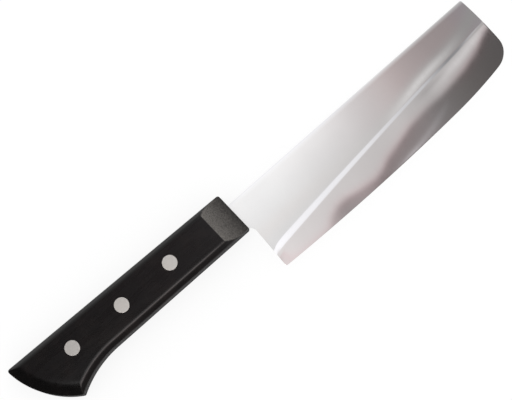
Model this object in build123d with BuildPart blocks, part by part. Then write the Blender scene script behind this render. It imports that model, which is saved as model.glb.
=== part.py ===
from build123d import *
from math import sqrt
import os

# A nakiri knife lying on its left side, with the tip towards +X and the spine towards +Y.
# Outlines are drawn from the foot of the handle's front face (x = 0) and from the line of
# the blade's spine (y = 0), on the middle plane of the blade and handle (z = 0).

# Blade outline
blade_length = 160.6
blade_height = 44.1
heel_height = 43.3
heel_gap = 1.65
heel_round = 1.0
neck_foot = 15.8
neck_reach = 2.1
neck_drop = 4.0
tip_lean = 1.5
tip_round = 1.2

# The edge from the belly to the squared tip, as shares of the blade's length and height
belly_low_share = (0.390, 1.0)
belly_end_share = (0.7465, 0.9605)
sweep_end_share = (0.940, 0.8795)
corner_mid_share = (0.986, 0.779)
corner_end_share = (0.9995, 0.643)

# Blade section
blade_thickness = 2.0
spine_round = 0.35
bevel_foot_thickness = 0.5
edge_bevel_width = 0.8
edge_thickness = 0.2
bevel_lift = 0.2

# The shoulder of the ground bevel and the edge under it, from behind the heel to past the
# tip: shares of the blade's length, then of its height
bevel_shares = [
    (-0.02, 0.929, 0.983),
    (0.005, 0.854, 0.985),
    (0.018, 0.799, 0.986),
    (0.035, 0.763, 0.988),
    (0.060, 0.745, 0.991),
    (0.12, 0.715, 0.995),
    (0.20, 0.675, 0.999),
    (0.30, 0.628, 1.000),
    (0.40, 0.583, 1.000),
    (0.50, 0.539, 0.995),
    (0.60, 0.497, 0.983),
    (0.70, 0.457, 0.968),
    (0.80, 0.419, 0.946),
    (0.90, 0.382, 0.912),
    (1.05, 0.3265, 0.845),
]

# Handle outline
handle_length = 142.15
back_height_front = 6.87
back_height_butt = 11.07
belly_depth = 16.55
front_lean = 0.85
hook_start = 91.0
hook_radius = 57.4
butt_radius = 45.95
butt_centre_height = 14.9
front_top_round = 1.3
front_foot_round = 1.5
butt_top_round = 1.5
hook_tip_round = 1.2
flat_corner_round = 0.6

# Handle section
handle_thickness = 17.0
side_bevel_width = 2.8
side_bevel_depth = 3.0
butt_bevel_width = 4.8
crease_round = 0.8
ramp_length = 14.1
ramp_level = 2.75
ramp_depth = 3.2

# Tang: left as thick as the stock, where the blade is ground and polished thinner
tang_thickness = 2.2
tang_end_margin = 14.5
neck_top_step = 1.2
neck_bottom_step = 2.6
neck_length = 4.0
tang_rise_end = 13.0
tang_top_front = 3.0
tang_top_rear = 4.6
tang_bottom_rear = 11.8
tang_bend_round = 3.0
tang_end_round = 6.0
tang_clearance = 0.15

# Rivets: a stud from the right side, pressed into a sleeve from the left side
rivet_reach = 42.15
rivet_pitch_front = 32.85
rivet_pitch_rear = 33.6
rivet_drop_front = 3.05
rivet_drop_middle = 3.05
rivet_drop_rear = 2.75
rivet_head_diameter = 8.1
rivet_head_thickness = 2.5
rivet_head_edge = 0.15
stud_diameter = 4.0
stud_tip_chamfer = 0.5
stud_tip_gap = 0.3
stud_clearance = 0.02
sleeve_diameter = 5.6
sleeve_floor = 0.6
sleeve_tip_gap = 0.3
head_clearance = 0.05
bore_clearance = 0.1

# How far a cutting shape runs past the surface that it cuts
overrun = 2.0

half_handle = handle_thickness / 2
half_blade = blade_thickness / 2
half_tang = tang_thickness / 2
wall_height = half_handle - side_bevel_depth
head_seat = half_handle - rivet_head_thickness
front_height = belly_depth + back_height_front
rivet_reach_middle = rivet_reach + rivet_pitch_front
rivet_reach_rear = rivet_reach_middle + rivet_pitch_rear
tang_length = rivet_reach_rear + tang_end_margin

# The origin is the centre of the footprint, on the table under the handle's left side
middle = Plane(
    origin=(
        (handle_length - blade_length) / 2,
        (blade_height - back_height_butt) / 2,
        half_handle,
    )
)


def edge_point(share):
    """A point of the edge from its shares of the blade's length and height."""
    return Vector(share[0] * blade_length, -share[1] * blade_height)


def front_point(y):
    """A point of the handle's front face, which leans back from its foot."""
    return Vector(-front_lean * (y + belly_depth) / front_height, y)


def rear_meeting(centre_a, radius_a, centre_b, radius_b):
    """The point nearer the butt of the two where two circles cross."""
    between = centre_b - centre_a
    along = (radius_a**2 - radius_b**2 + between.length**2) / (2 * between.length)
    aside = sqrt(radius_a**2 - along**2)
    step = between.normalized()
    across = Vector(-step.Y, step.X) * aside
    foot = centre_a + step * along
    return min(foot + across, foot - across, key=lambda point: point.X)


def handle_outline(plane, inset, butt_inset, butt_top_radius, hook_tip_radius):
    """The handle seen from the side, drawn in by the width of the bevels."""
    hook_centre = Vector(-hook_start, -belly_depth - hook_radius)
    butt_centre = Vector(butt_radius - handle_length, butt_centre_height)
    butt_r = butt_radius - butt_inset
    top_y = back_height_butt - inset
    top_x = butt_centre.X - sqrt(butt_r**2 - (top_y - butt_centre.Y) ** 2)
    front_top = front_point(back_height_front - inset)
    front_foot = front_point(inset - belly_depth)
    butt_top = Vector(top_x, top_y)
    hook_end = Vector(-hook_start, inset - belly_depth)
    hook_tip = rear_meeting(hook_centre, hook_radius + inset, butt_centre, butt_r)
    bulge = ((butt_top + hook_tip) / 2 - butt_centre).normalized() * butt_r
    with BuildSketch(plane) as outline:
        with BuildLine():
            Line(front_top, butt_top)
            ThreePointArc(butt_top, butt_centre + bulge, hook_tip)
            TangentArc(hook_end, hook_tip, tangent=(-1, 0))
            Polyline(hook_end, front_foot, front_top)
        make_face()
        for corner, radius in (
            (front_top, front_top_round),
            (front_foot, front_foot_round),
            (butt_top, butt_top_radius),
            (hook_tip, hook_tip_radius),
        ):
            fillet(outline.vertices().sort_by_distance(corner)[0], radius)
    return outline.sketch


def tang_outline(growth, reach):
    """The tang and its neck, or its pocket, which is larger and runs past the front face."""
    neck_top = front_point(growth - neck_top_step)
    neck_bottom = front_point(neck_bottom_step - belly_depth - growth)
    bend = Vector(-neck_length, neck_top.Y)
    rise_end = Vector(-tang_rise_end, tang_top_front + growth)
    end_top = Vector(-tang_length - growth, tang_top_rear + growth)
    end_bottom = Vector(-tang_length - growth, -tang_bottom_rear - growth)
    forward = Vector(reach, 0)
    with BuildSketch(middle) as outline:
        with BuildLine():
            Polyline(
                neck_top + forward,
                bend,
                rise_end,
                end_top,
                end_bottom,
                neck_bottom + forward,
                close=True,
            )
        make_face()
        for corner, radius in (
            (bend, tang_bend_round - growth),
            (rise_end, tang_bend_round + growth),
            (end_top, tang_end_round + growth),
            (end_bottom, tang_end_round + growth),
        ):
            fillet(outline.vertices().sort_by_distance(corner)[0], radius)
    return outline.sketch


def bevel_section(shares, side):
    """What the grinding takes from one side of the blade at one place along it."""
    shoulder = -shares[1] * blade_height
    edge = -shares[2] * blade_height
    foot = edge + edge_bevel_width
    fall = half_blade - bevel_foot_thickness / 2
    top = shoulder + bevel_lift * (shoulder - foot) / fall
    along = middle.origin + Vector(shares[0] * blade_length, 0)
    with BuildSketch(Plane(origin=along, x_dir=(0, 1, 0), z_dir=(1, 0, 0))) as section:
        with BuildLine():
            Polyline(
                (top, side * (half_blade + bevel_lift)),
                (foot, side * bevel_foot_thickness / 2),
                (edge, side * edge_thickness / 2),
                (edge - overrun, side * edge_thickness / 2),
                (edge - overrun, side * (half_blade + bevel_lift)),
                close=True,
            )
        make_face()
    return section.sketch


# Where the rivets go through, from the front to the rear
rivet_places = {
    "front": (-rivet_reach, -rivet_drop_front),
    "middle": (-rivet_reach_middle, -rivet_drop_middle),
    "rear": (-rivet_reach_rear, -rivet_drop_rear),
}

# Blade and tang, one piece of steel
with BuildPart() as blade:
    with BuildSketch(middle) as blade_side:
        with BuildLine():
            heel = Vector(heel_gap, -heel_height)
            tip = Vector(blade_length - tip_lean, 0)
            neck_end = Vector(neck_reach, -neck_foot - neck_drop)
            belly = ThreePointArc(heel, edge_point(belly_low_share), edge_point(belly_end_share))
            sweep = TangentArc(belly @ 1, edge_point(sweep_end_share), tangent=belly % 1)
            corner = TangentArc(sweep @ 1, edge_point(corner_mid_share), tangent=sweep % 1)
            turn = TangentArc(corner @ 1, edge_point(corner_end_share), tangent=corner % 1)
            TangentArc(turn @ 1, tip, tangent=turn % 1)
            Polyline(tip, front_point(0), front_point(-neck_foot))
            TangentArc(neck_end, front_point(-neck_foot), tangent=(0, 1))
            Line(neck_end, heel)
        make_face()
        fillet(blade_side.vertices().sort_by_distance(tip)[0], tip_round)
        fillet(blade_side.vertices().sort_by_distance(heel)[0], heel_round)
    extrude(amount=half_blade, both=True)
    fillet(blade.edges().filter_by(Axis.X).group_by(Axis.Y)[-1], spine_round)
    extrude(tang_outline(0, 0), amount=half_tang, both=True)
    with BuildSketch(middle):
        with Locations(*rivet_places.values()):
            Circle(sleeve_diameter / 2 + bore_clearance)
    extrude(amount=half_tang, both=True, mode=Mode.SUBTRACT)
    for side in (1, -1):
        sections = [bevel_section(shares, side) for shares in bevel_shares]
        loft(sections, ruled=True, mode=Mode.SUBTRACT)

# The half of the handle that lies on top, on the right of the blade
with BuildPart() as handle_half_right:
    wall_outline = handle_outline(middle, 0, 0, butt_top_round, hook_tip_round)
    brow_outline = handle_outline(
        middle.offset(wall_height), 0, 0, butt_top_round, hook_tip_round
    )
    flat_outline = handle_outline(
        middle.offset(half_handle),
        side_bevel_width,
        butt_bevel_width,
        flat_corner_round,
        flat_corner_round,
    )
    extrude(wall_outline, amount=wall_height)
    loft([brow_outline, flat_outline], ruled=True)
    fillet(handle_half_right.faces().sort_by(Axis.Z)[-1].edges(), crease_round)

    # The scooped ramp at the front, square to the leaning front face
    lean = front_point(back_height_front) - front_point(-belly_depth)
    ramp_plane = Plane(
        origin=middle.origin + front_point(-belly_depth),
        x_dir=(lean.Y, -lean.X, 0),
        z_dir=(-lean.X, -lean.Y, 0),
    )
    with BuildSketch(ramp_plane):
        with BuildLine():
            level_end = Vector(-ramp_level, half_handle - ramp_depth)
            crease = Vector(-ramp_length, half_handle)
            TangentArc(level_end, crease, tangent=(-1, 0))
            Polyline(
                crease,
                crease + Vector(0, overrun),
                (overrun, half_handle + overrun),
                (overrun, half_handle - ramp_depth),
                level_end,
            )
        make_face()
    extrude(amount=front_height + overrun, both=True, mode=Mode.SUBTRACT)

    # The pocket for the tang and the seats of the rivets
    pocket_outline = tang_outline(tang_clearance, overrun)
    extrude(pocket_outline, amount=half_tang + tang_clearance, mode=Mode.SUBTRACT)
    with BuildSketch(middle):
        with Locations(*rivet_places.values()):
            Circle(sleeve_diameter / 2 + bore_clearance)
    extrude(amount=half_handle, mode=Mode.SUBTRACT)
    with BuildSketch(middle.offset(head_seat)):
        with Locations(*rivet_places.values()):
            Circle(rivet_head_diameter / 2 + head_clearance)
    extrude(amount=rivet_head_thickness, mode=Mode.SUBTRACT)

# The half that lies on the table, its mirror image on the left of the blade
with BuildPart() as handle_half_left:
    mirror(handle_half_right.part, about=middle)

pieces = {
    "blade": blade,
    "handle_half_right": handle_half_right,
    "handle_half_left": handle_half_left,
}

# Each rivet: the solid stud, then the sleeve that it is pressed into
bore_floor = sleeve_floor - head_seat
for place, centre in rivet_places.items():
    with BuildPart() as stud:
        with BuildSketch(middle.offset(half_handle)):
            with Locations(centre):
                Circle(rivet_head_diameter / 2)
        extrude(amount=-rivet_head_thickness)
        fillet(stud.edges().group_by(Axis.Z)[-1], rivet_head_edge)
        with BuildSketch(middle.offset(head_seat)):
            with Locations(centre):
                Circle(stud_diameter / 2)
        extrude(amount=bore_floor + stud_tip_gap - head_seat)
        chamfer(stud.edges().group_by(Axis.Z)[0], stud_tip_chamfer)
    pieces[f"rivet_{place}_stud"] = stud

    with BuildPart() as sleeve:
        with BuildSketch(middle.offset(-half_handle)):
            with Locations(centre):
                Circle(rivet_head_diameter / 2)
        extrude(amount=rivet_head_thickness)
        fillet(sleeve.edges().group_by(Axis.Z)[0], rivet_head_edge)
        with BuildSketch(middle.offset(-head_seat)):
            with Locations(centre):
                Circle(sleeve_diameter / 2)
        extrude(amount=2 * head_seat - sleeve_tip_gap)
        with BuildSketch(middle.offset(bore_floor)):
            with Locations(centre):
                Circle(stud_diameter / 2 + stud_clearance)
        extrude(amount=2 * head_seat, mode=Mode.SUBTRACT)
    pieces[f"rivet_{place}_sleeve"] = sleeve

os.makedirs("parts", exist_ok=True)
for name, piece in pieces.items():
    piece.part.label = name
    export_step(piece.part, f"parts/{name}.step")
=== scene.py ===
# %% [markdown]
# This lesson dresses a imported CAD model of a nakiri, the square-tipped knife for
# vegetables, until it looks like a product photograph. The frame holds every solid in its
# place, in metres. Nothing here moves or resizes it: the script only adds finer skins,
# finishes, lights and a camera.

# %% Load the frame
import math
import bpy
from mathutils import Matrix, Vector
from mathutils.geometry import delaunay_2d_cdt


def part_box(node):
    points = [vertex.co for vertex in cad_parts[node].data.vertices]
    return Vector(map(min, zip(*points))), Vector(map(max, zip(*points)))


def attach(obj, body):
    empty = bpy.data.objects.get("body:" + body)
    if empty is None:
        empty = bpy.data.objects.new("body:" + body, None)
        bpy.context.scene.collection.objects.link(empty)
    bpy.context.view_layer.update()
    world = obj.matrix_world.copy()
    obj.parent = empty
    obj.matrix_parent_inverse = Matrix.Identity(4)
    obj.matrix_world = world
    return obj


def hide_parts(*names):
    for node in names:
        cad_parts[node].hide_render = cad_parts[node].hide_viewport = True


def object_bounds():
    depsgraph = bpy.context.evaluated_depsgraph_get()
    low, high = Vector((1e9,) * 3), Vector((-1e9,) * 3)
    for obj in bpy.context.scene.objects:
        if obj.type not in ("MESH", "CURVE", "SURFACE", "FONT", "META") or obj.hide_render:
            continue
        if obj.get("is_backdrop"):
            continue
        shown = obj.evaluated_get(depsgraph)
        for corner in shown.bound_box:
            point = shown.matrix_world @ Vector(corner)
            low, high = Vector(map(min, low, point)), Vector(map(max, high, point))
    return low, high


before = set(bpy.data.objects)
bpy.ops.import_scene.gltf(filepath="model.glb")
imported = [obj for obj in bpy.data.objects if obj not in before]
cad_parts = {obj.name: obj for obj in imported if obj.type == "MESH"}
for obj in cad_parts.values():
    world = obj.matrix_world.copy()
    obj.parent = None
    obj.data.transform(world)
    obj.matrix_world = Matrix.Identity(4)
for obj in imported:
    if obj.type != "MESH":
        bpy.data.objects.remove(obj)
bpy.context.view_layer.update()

print("nodes in the frame:", sorted(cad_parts))

# %% [markdown]
# A knife maker measures from two lines: the foot of the handle's front face, and the
# blade's spine. The cells below think in millimetres from there too, and `at` turns such a
# place into the frame's metres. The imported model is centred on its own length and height,
# so the home point follows from the knife's main sizes.

# %% Where the knife is
MM = 0.001
BLADE_LENGTH = 160.6
BLADE_HEIGHT = 44.1
SHOULDER_CURVE = (0.7701, -0.4800, 0.0816)
HANDLE_LENGTH = 142.15
BACK_BUTT = 11.07
HALF_HANDLE = 8.5
home = Vector((
    (HANDLE_LENGTH - BLADE_LENGTH) / 2,
    (BLADE_HEIGHT - BACK_BUTT) / 2,
    HALF_HANDLE,
)) * MM


def at(x, y, z=0.0):
    """The place in the frame of a point in millimetres from the handle's foot and the spine."""
    return home + Vector((x, y, z)) * MM


print("home point in metres:", tuple(round(value, 5) for value in home))
half_box = [tuple(round(value, 4) for value in corner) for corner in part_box("handle_half_right")]
print("handle half in the frame:", half_box)

# %% [markdown]
# The photograph was taken with a long lens from almost straight above: the knife lies
# flat, the rivets are round, and the handle's belly shows a little more of its side than
# the back does. That is a camera leaning about seven degrees towards the cutting edge. A
# long lens far away keeps the outline free of perspective. The knife runs up to the right
# in the picture, so the camera is rolled about its own axis.

# %% Camera
LENS_MM = 300.0
SENSOR_MM = 36.0
LEAN = math.radians(7.0)
ROLL = math.radians(41.456)
VIEW_WIDTH_MM = 263.42
VIEW_CENTRE = (12.29, -7.3)
SEES_AS_FAR_AS = 50.0      # metres

back = Vector((0.0, -math.sin(LEAN), math.cos(LEAN)))
along = Vector((1.0, 0.0, 0.0))
across = back.cross(along)
right = along * math.cos(ROLL) - across * math.sin(ROLL)
up = along * math.sin(ROLL) + across * math.cos(ROLL)
distance = VIEW_WIDTH_MM * MM * LENS_MM / SENSOR_MM

camera_data = bpy.data.cameras.new("camera")
camera_data.lens = LENS_MM
camera_data.sensor_width = SENSOR_MM
camera_data.clip_end = SEES_AS_FAR_AS
camera = bpy.data.objects.new("camera", camera_data)
turn = Matrix((right, up, back)).transposed().to_4x4()
camera.matrix_world = Matrix.Translation(at(*VIEW_CENTRE) + back * distance) @ turn
bpy.context.scene.collection.objects.link(camera)
bpy.context.scene.camera = camera
bpy.context.scene.view_settings.view_transform = "Standard"
print("camera stands", round(distance, 3), "m away")

# %% [markdown]
# Shader trees are easier to read when making a node and wiring it is one short call. These
# helpers are all the lesson needs: `node` adds a node and fills its sockets, either with a
# plain value or with another node's output, and `ramp` makes a curve out of a few stops.
# The last two put a mesh into the scene.

# %% Helpers


def node(tree, kind, settings=None, out=0, **sockets):
    """Adds a shader node, fills the named or numbered sockets and gives one output."""
    made = tree.nodes.new(kind)
    for name, value in (settings or {}).items():
        setattr(made, name, value)
    for name, value in sockets.items():
        key = int(name[1:]) if name[0] == "i" and name[1:].isdigit() else name.replace("_", " ")
        if isinstance(value, bpy.types.NodeSocket):
            tree.links.new(value, made.inputs[key])
        else:
            made.inputs[key].default_value = value
    return made.outputs[out]


def maths(tree, operation, first, second=0.0, third=0.0, clamp=False):
    """One step of arithmetic on values or sockets."""
    settings = {"operation": operation, "use_clamp": clamp}
    return node(tree, "ShaderNodeMath", settings, i0=first, i1=second, i2=third)


def ramp(tree, value, stops, mode="B_SPLINE"):
    """A colour ramp over the given stops: (place, grey or colour)."""
    made = tree.nodes.new("ShaderNodeValToRGB")
    made.color_ramp.interpolation = mode
    elements = made.color_ramp.elements
    while len(elements) < len(stops):
        elements.new(1.0)
    for element, (place, colour) in zip(elements, stops):
        element.position = place
        if isinstance(colour, (int, float)):
            colour = (colour,) * 3
        element.color = (*colour, 1.0)
    tree.links.new(value, made.inputs[0])
    return made.outputs[0]


def spread(tree, value, low, high, to_low=0.0, to_high=1.0, mode="SMOOTHSTEP"):
    """Maps a range of values onto another, softly."""
    settings = {"interpolation_type": mode, "clamp": True}
    return node(
        tree, "ShaderNodeMapRange", settings,
        Value=value, From_Min=low, From_Max=high, To_Min=to_low, To_Max=to_high,
    )


def mix(tree, share, first, second, blend="MIX"):
    """Mixes two colours."""
    settings = {"data_type": "RGBA", "blend_type": blend, "clamp_factor": True}
    return node(tree, "ShaderNodeMix", settings, out=2, i0=share, i6=first, i7=second)


def split_xyz(tree, vector):
    """The three parts of a vector."""
    made = tree.nodes.new("ShaderNodeSeparateXYZ")
    tree.links.new(vector, made.inputs[0])
    return made.outputs


def object_place(tree):
    """The place of the shaded point, in the object's own units."""
    return node(tree, "ShaderNodeTexCoord", out=3)


def new_material(name):
    """A fresh material and its empty tree."""
    material = bpy.data.materials.new(name)
    material.use_nodes = True
    material.node_tree.nodes.clear()
    return material, material.node_tree


def show(tree, shader, kind="ShaderNodeOutputMaterial"):
    """Makes a shader the surface of its material, or of the world."""
    tree.links.new(shader, tree.nodes.new(kind).inputs["Surface"])


def new_object(name, mesh):
    """An object for a mesh, linked into the scene."""
    made = bpy.data.objects.new(name, mesh)
    bpy.context.scene.collection.objects.link(made)
    return made


def solid(name, verts, faces, material=None):
    """A mesh object from plain lists."""
    mesh = bpy.data.meshes.new(name)
    mesh.from_pydata(verts, [], faces)
    if material:
        mesh.materials.append(material)
    return new_object(name, mesh)


print("helpers ready")

# %% [markdown]
# Three finishes of this knife are drawn out along one direction: the lines that the
# polishing wheel leaves on the blade, the fibres of the wood, and the belt's marks on the
# rivets. All are noise that is squeezed across that direction. A node group holds that
# recipe once, and each material gives it its own stretch and detail.

# %% A group for drawn-out grain
NOISE = (0.3, 0.7)      # soft noise hardly leaves this range


def noise(tree, place, scale, detail, roughness):
    """Soft noise round 0.5."""
    return node(
        tree, "ShaderNodeTexNoise", Vector=place, Scale=scale, Detail=detail, Roughness=roughness,
    )


def grain_group():
    """The group `drawn_grain`: a place, a stretch and a detail go in, a value comes out."""
    group = bpy.data.node_groups.new("drawn_grain", "ShaderNodeTree")
    group.interface.new_socket(name="Place", in_out="INPUT", socket_type="NodeSocketVector")
    group.interface.new_socket(name="Stretch", in_out="INPUT", socket_type="NodeSocketVector")
    group.interface.new_socket(name="Detail", in_out="INPUT", socket_type="NodeSocketFloat")
    group.interface.new_socket(name="Grain", in_out="OUTPUT", socket_type="NodeSocketFloat")
    given = group.nodes.new("NodeGroupInput").outputs
    squeezed = node(group, "ShaderNodeMapping", Vector=given["Place"], Scale=given["Stretch"])
    result = group.nodes.new("NodeGroupOutput")
    grain = noise(group, squeezed, scale=1.0, detail=given["Detail"], roughness=0.6)
    group.links.new(grain, result.inputs["Grain"])
    return group


GRAIN = grain_group()


def drawn_grain(tree, place, stretch, detail):
    """Places the group in a material, with its own values."""
    settings = {"node_tree": GRAIN}
    return node(tree, "ShaderNodeGroup", settings, Place=place, Stretch=stretch, Detail=detail)


print("grain group's sockets:", [socket.name for socket in GRAIN.interface.items_tree])

# %% [markdown]
# The knife lies on a white table in a white room. The floor is a plain matt sheet. To the
# camera and to mirrors it glows by itself and takes less of the room's light, which brings
# the paper up to white without pouring more light on the knife. A faint soft shadow stays
# under the handle. Mirrors see the room itself fade to grey towards the horizon, so that
# bright steel keeps its form when it is seen from low down.

# %% Table and room
WHITE = (1.0, 1.0, 1.0, 1.0)
PAPER = (0.80, 0.80, 0.80, 1.0)
PAPER_SEEN = (0.22, 0.22, 0.22, 1.0)
FLOOR_GLOW = 0.83
ROOM_LIGHT = 0.85
FLOOR_SIZE = 12.0
ROOM_IN_MIRRORS = [
    (0.0, 0.42), (0.17, 0.50), (0.34, 0.62), (0.5, 0.74), (0.64, 0.85), (0.87, 0.97), (1.0, 1.0),
]


def seen_directly(tree):
    """One for rays from the camera, from a mirror or through glass, else nothing."""
    path = tree.nodes.new("ShaderNodeLightPath").outputs
    direct = maths(tree, "MAXIMUM", path["Is Camera Ray"], path["Is Glossy Ray"])
    return maths(tree, "MAXIMUM", direct, path["Is Transmission Ray"])


floor_material, tree = new_material("white_table")
direct = seen_directly(tree)
paper = node(tree, "ShaderNodeBsdfDiffuse", Color=mix(tree, direct, PAPER, PAPER_SEEN))
glow = maths(tree, "MULTIPLY", direct, FLOOR_GLOW)
glow = node(tree, "ShaderNodeEmission", Color=WHITE, Strength=glow)
show(tree, node(tree, "ShaderNodeAddShader", i0=paper, i1=glow))

half = FLOOR_SIZE / 2
corners = [(-half, -half, 0.0), (half, -half, 0.0), (half, half, 0.0), (-half, half, 0.0)]
solid("table", corners, [(0, 1, 2, 3)], floor_material)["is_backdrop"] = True

world = bpy.data.worlds.new("white_room")
bpy.context.scene.world = world
world.use_nodes = True
tree = world.node_tree
tree.nodes.clear()
height = split_xyz(tree, node(tree, "ShaderNodeTexCoord", out=0))[2]
in_mirrors = ramp(tree, height, ROOM_IN_MIRRORS, "LINEAR")
glossy = node(tree, "ShaderNodeLightPath", out=3)
strength = spread(tree, seen_directly(tree), 0.0, 1.0, ROOM_LIGHT, 1.0, mode="LINEAR")
strength = maths(tree, "MULTIPLY", strength, mix(tree, glossy, WHITE, in_mirrors))
room = node(tree, "ShaderNodeBackground", Color=WHITE, Strength=strength)
show(tree, room, "ShaderNodeOutputWorld")
print("table and room are in")

# %% [markdown]
# Polished steel has no look of its own: it shows what stands above it. A product
# photographer hangs a graduated panel there, white where the metal should gleam and dark
# where it should fall away. The flat of the blade mirrors one strip of that panel. The
# ground bevel is tilted by two to five degrees, so it mirrors another strip beside it, and
# the rounded shoulder sweeps across the gap between the two. The panel is laid out in the
# blade's own millimetres, enlarged by the little that a mirror at this distance asks for,
# so a stop at 60 lies where the eye sees it 60 mm from the handle. Only mirror rays see
# the panel: it lights nothing and casts no shadow.

# %% Lay out the panel
PANEL_HEIGHT = 200.0
PANEL_X = (-260.0, 300.0)
PANEL_Y = (-170.0, 150.0)
LINE_SCALE = -100.0      # a ramp holds values from 0 to 1 only

panel_material, tree = new_material("graduated_panel")
panel_x, panel_y, _ = split_xyz(tree, object_place(tree))


def along_knife(stops, mode="LINEAR"):
    """A colour or value along the panel, whose stops are (millimetres, value from 0 to 1)."""
    low, high = PANEL_X
    share = spread(tree, panel_x, low, high, mode="LINEAR")
    return ramp(tree, share, [((x - low) / (high - low), value) for x, value in stops], mode)


def line_on_panel(stops):
    """A line across the panel, whose stops are millimetres along and from the spine."""
    share = along_knife([(x, y / LINE_SCALE) for x, y in stops])
    return maths(tree, "MULTIPLY", share, LINE_SCALE)


def above(place, line):
    """How far a place lies above a line on the panel."""
    return maths(tree, "SUBTRACT", place, line)


def soft_stripe(distance, half_width):
    """One on a line, fading to nothing at a distance from it."""
    away = maths(tree, "ABSOLUTE", distance)
    return spread(tree, away, 0.0, half_width, 1.0, 0.0)


def times(first, second):
    """The product of two values."""
    return maths(tree, "MULTIPLY", first, second)


def blend(kind, first, second):
    """Two colours multiplied, added or subtracted in full."""
    return mix(tree, 1.0, first, second, blend=kind)


share = maths(tree, "DIVIDE", panel_x, BLADE_LENGTH)
shoulder = maths(tree, "MULTIPLY_ADD", share, SHOULDER_CURVE[2], SHOULDER_CURVE[1])
shoulder = maths(tree, "MULTIPLY_ADD", share, shoulder, SHOULDER_CURVE[0])
shoulder = times(shoulder, -BLADE_HEIGHT)
print("panel hangs", PANEL_HEIGHT, "mm above the blade")

# %% [markdown]
# The bevel's tilt grows towards the heel, where the bevel is narrow, and so does the
# distance between the two strips. `bevel_y` undoes that: it is the place on the bevel that
# mirrors a given spot of the panel.

# %% Find the bevel's strip
STRIP_GAP = 14.85
HEEL_GAP = 15.4
HEEL_GAP_FADE = 31.3

near_heel = maths(tree, "EXPONENT", maths(tree, "DIVIDE", panel_x, -HEEL_GAP_FADE))
shift = maths(tree, "MULTIPLY_ADD", near_heel, HEEL_GAP, STRIP_GAP)
bevel_y = maths(tree, "ADD", panel_y, shift)
print("the strips lie", STRIP_GAP, "to", round(STRIP_GAP + HEEL_GAP, 2), "mm apart")

# %% [markdown]
# The flat's strip runs from white near the handle to mid grey at the tip. It is slightly
# darker towards the shoulder and a little paler beyond the spine, and a faint pale streak
# leaves the shoulder halfway along and climbs towards the front.

# %% Paint the flat's strip
FLAT_STOPS = [
    (-200, 0.80), (-9, 0.82), (4, 0.91), (30, 0.91), (55, 0.845), (70, 0.75), (85, 0.62), (100, 0.525),
    (115, 0.405), (130, 0.322), (143, 0.298), (153, 0.275), (165, 0.28), (250, 0.25),
]
FLAT_TINT = [
    (20, (1.0, 1.0, 1.0)), (55, (1.0, 0.985, 0.985)), (75, (1.0, 0.965, 0.965)), (88, (1.0, 0.94, 0.94)),
    (98, (1.0, 0.905, 0.90)), (108, (1.0, 0.868, 0.865)),
    (145, (1.0, 0.872, 0.872)), (153, (1.0, 0.89, 0.93)), (160, (1.0, 0.93, 0.98)),
]
FALL_STOPS = [
    (0, 0.15), (25, 0.20), (40, 0.22), (55, 0.25), (70, 0.22), (100, 0.08), (128, 0.0),
]
FALL_WIDTH = 22.0
LEAST_FALL = 0.5
STREAK_LINE = [
    (85, -23.2), (95, -21.4), (105, -19.4), (115, -17.4), (125, -16.3), (135, -15.6),
    (148, -13.5), (160, -9.0),
]
STREAK_LIGHT = [
    (86, 0.0), (95, 0.08), (105, 0.18), (115, 0.26), (125, 0.26), (135, 0.16), (145, 0.03),
    (150, 0.0),
]
STREAK_HALF = 3.3
STREAK_TINT = (1.0, 0.98, 0.97, 1.0)
STREAK_TINT_HALF = 7.0
SPINE_STOPS = [
    (-5, (0.785, 0.79, 0.81)), (10, (0.97, 0.98, 1.0)), (60, (0.89, 0.90, 0.93)),
    (100, (0.775, 0.78, 0.785)), (130, (0.64, 0.64, 0.64)), (160, (0.56, 0.56, 0.56)),
    (200, (0.5, 0.5, 0.5)),
]
SPINE_WIDTH = 22.0

fall = times(along_knife(FALL_STOPS), maths(tree, "DIVIDE", panel_y, FALL_WIDTH))
fall = maths(tree, "MAXIMUM", maths(tree, "ADD", fall, 1.0), LEAST_FALL)
flat_light = times(along_knife(FLAT_STOPS), maths(tree, "MINIMUM", fall, 1.0))
from_streak = above(panel_y, line_on_panel(STREAK_LINE))
beside_streak = soft_stripe(from_streak, STREAK_TINT_HALF)
tint = mix(tree, beside_streak, along_knife(FLAT_TINT), STREAK_TINT)
flat_light = blend("MULTIPLY", flat_light, tint)
streak = times(soft_stripe(from_streak, STREAK_HALF), along_knife(STREAK_LIGHT))
flat_light = blend("ADD", flat_light, streak)
beyond_spine = spread(tree, panel_y, 0.0, SPINE_WIDTH, mode="LINEAR")
flat_light = mix(tree, beyond_spine, flat_light, along_knife(SPINE_STOPS))
print("flat strip painted")

# %% [markdown]
# The bevel's strip starts just as pale, but a dark shape cuts across it from the middle of
# the edge up to the tip, as the dark room behind a photographer's panel would. Its upper
# border is soft, and faintly warm. A pale ridge follows the shoulder near the tip, a cool
# glint leaves the edge halfway along, and a faint dark line runs just under the shoulder.

# %% Paint the bevel's strip
PALE_STOPS = [
    (-4, 1.0), (1.5, 0.80), (5, 0.76), (12, 0.71), (30, 0.65), (55, 0.60), (75, 0.55),
    (95, 0.54), (105, 0.475), (115, 0.40), (125, 0.46), (160, 0.40),
]
DARK_STOPS = [
    (12, 0.71), (24, 0.63), (32, 0.47), (38, 0.355), (44, 0.30), (50, 0.325), (56, 0.335), (62, 0.30),
    (68, 0.235), (85, 0.245), (105, 0.225), (115, 0.18), (126, 0.145), (138, 0.118), (150, 0.100),
    (160, 0.095), (220, 0.06),
]
DARK_LINE = [
    (30, -46.0), (36, -42.4), (42, -39.9), (48, -39.2), (56, -40.6), (66, -41.3), (71, -40.2),
    (78, -36.9), (86, -34.8), (98, -31.3), (110, -29.9), (120, -29.6), (138, -27.4),
    (150, -24.3), (158, -20.2), (200, -8.0),
]
DARK_BORDER = (-2.2, 1.6)
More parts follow.
